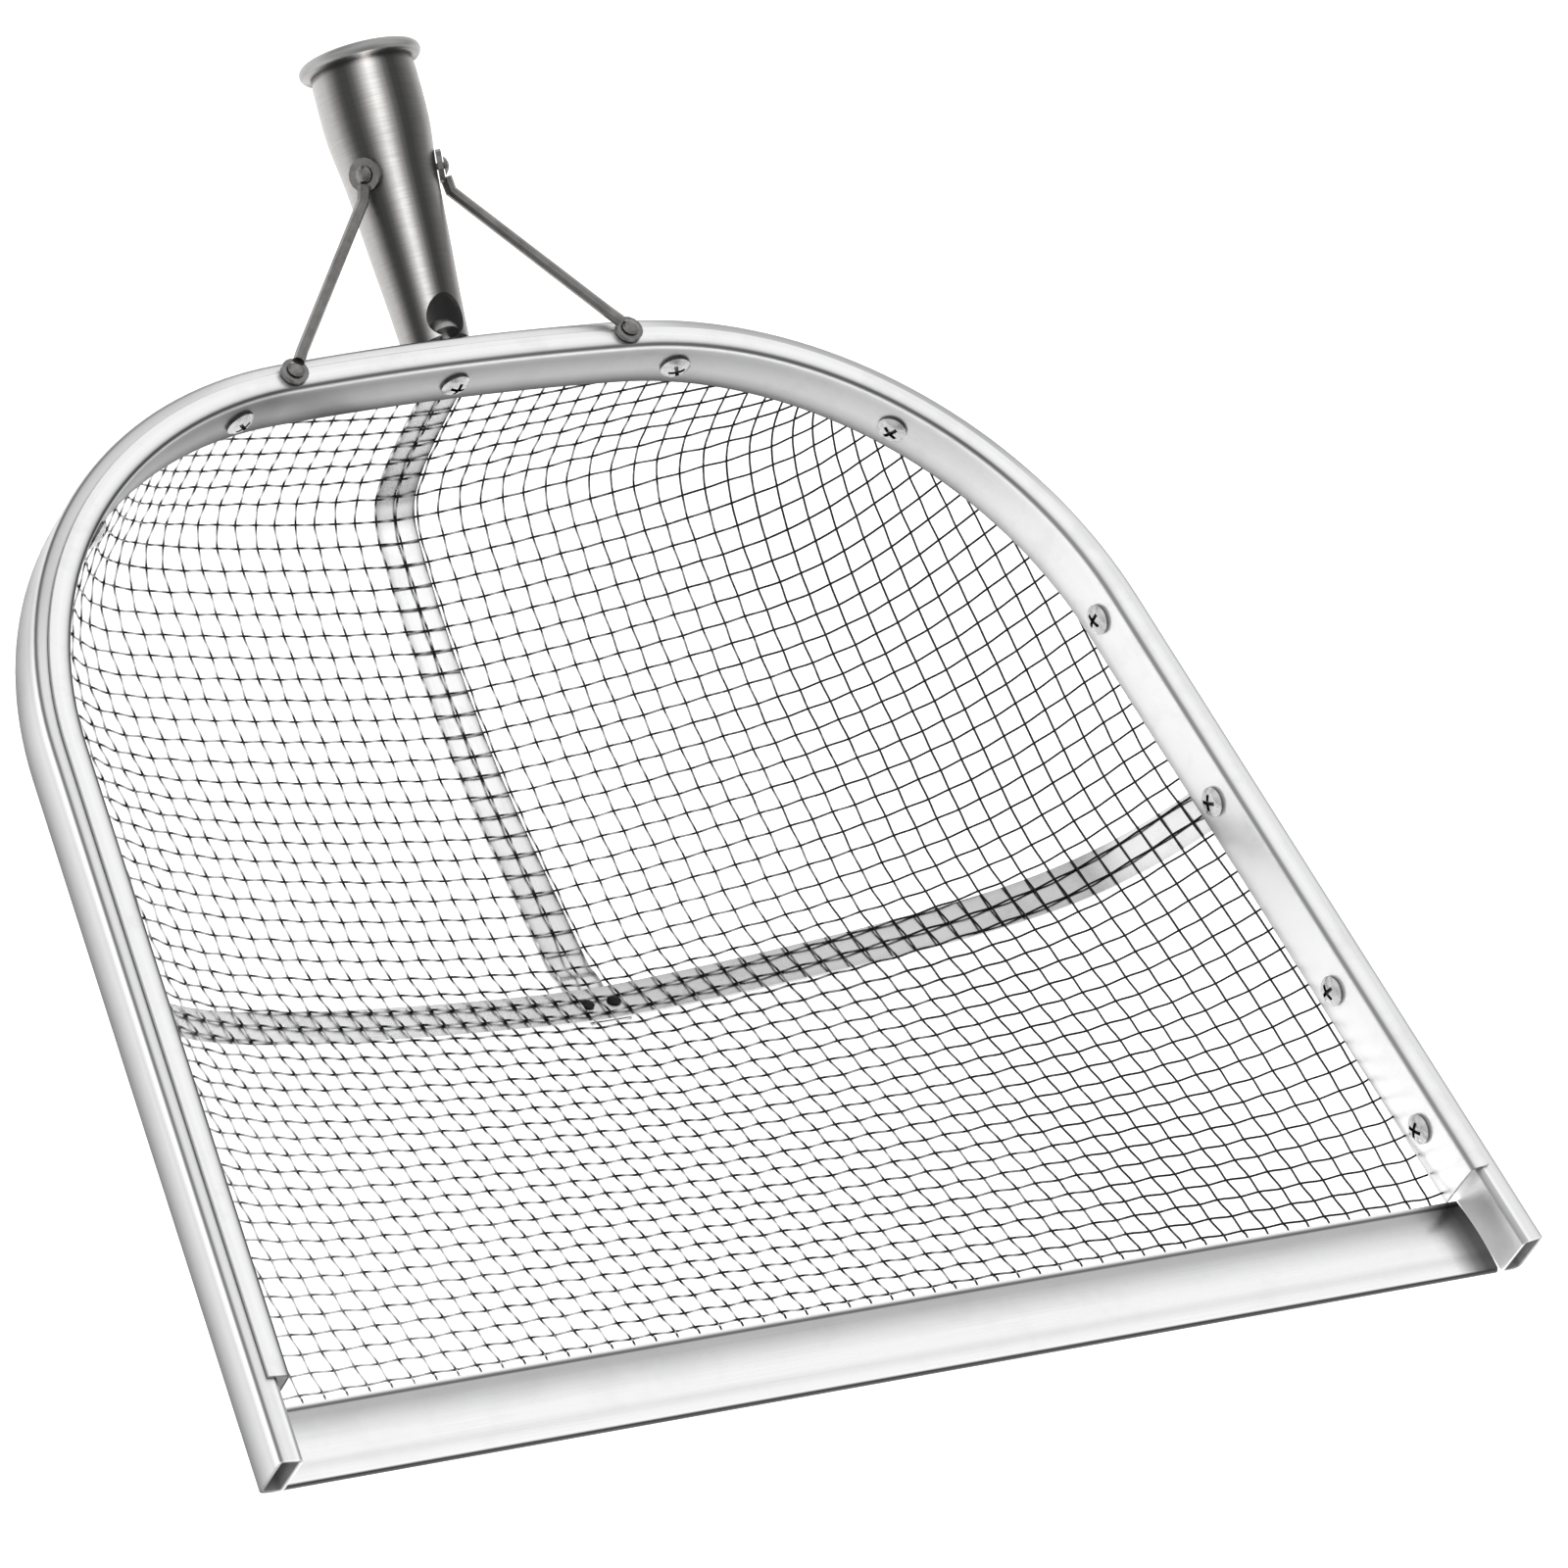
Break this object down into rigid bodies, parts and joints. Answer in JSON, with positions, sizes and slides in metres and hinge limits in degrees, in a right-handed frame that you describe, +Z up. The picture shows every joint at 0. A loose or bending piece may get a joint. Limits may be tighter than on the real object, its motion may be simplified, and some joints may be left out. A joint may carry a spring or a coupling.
{
  "type": "soil sieve head",
  "caption": "Scoop-shaped hand sieve head: a bent aluminium tube frame, a pressed wire-mesh basket, a folded blade and a braced steel handle socket.",
  "frame": {"origin": "centre of the underside of the long strap's level run, on which the sieve rests", "axes": "+Z up, out of the basket's open top; +Y from the blade towards the handle socket; +X along the blade"},
  "size_m": [0.376, 0.3937, 0.1044],
  "materials": {
    "aluminium_tube": "satin",
    "aluminium_strip": "satin",
    "blade_sheet": "satin",
    "steel_wire": "satin",
    "steel_band": "satin",
    "socket_steel": "polished",
    "rod_steel": "satin",
    "screw_steel": "gloss"
  },
  "bodies": {
    "root": {"frame_tube": "aluminium_tube", "clamp_strip": "aluminium_strip", "mesh_basket": "steel_wire", "blade": "blade_sheet", "cross_strap": "steel_band", "long_strap": "steel_band", "strap_rivet_left": "rod_steel", "strap_rivet_right": "rod_steel", "handle_socket": "socket_steel", "foot_bolt": "rod_steel", "brace_left": "rod_steel", "brace_right": "rod_steel", "foot_rivet_left": "rod_steel", "foot_rivet_right": "rod_steel", "top_rivet_left": "rod_steel", "top_rivet_right": "rod_steel", "clamp_screw_01": "screw_steel", "clamp_screw_02": "screw_steel", "clamp_screw_03": "screw_steel", "clamp_screw_04": "screw_steel", "clamp_screw_05": "screw_steel", "clamp_screw_06": "screw_steel", "clamp_screw_07": "screw_steel", "clamp_screw_08": "screw_steel", "clamp_screw_09": "screw_steel", "clamp_screw_10": "screw_steel", "clamp_screw_11": "screw_steel", "clamp_screw_12": "screw_steel", "clamp_screw_13": "screw_steel"}
  },
  "joints": []
}
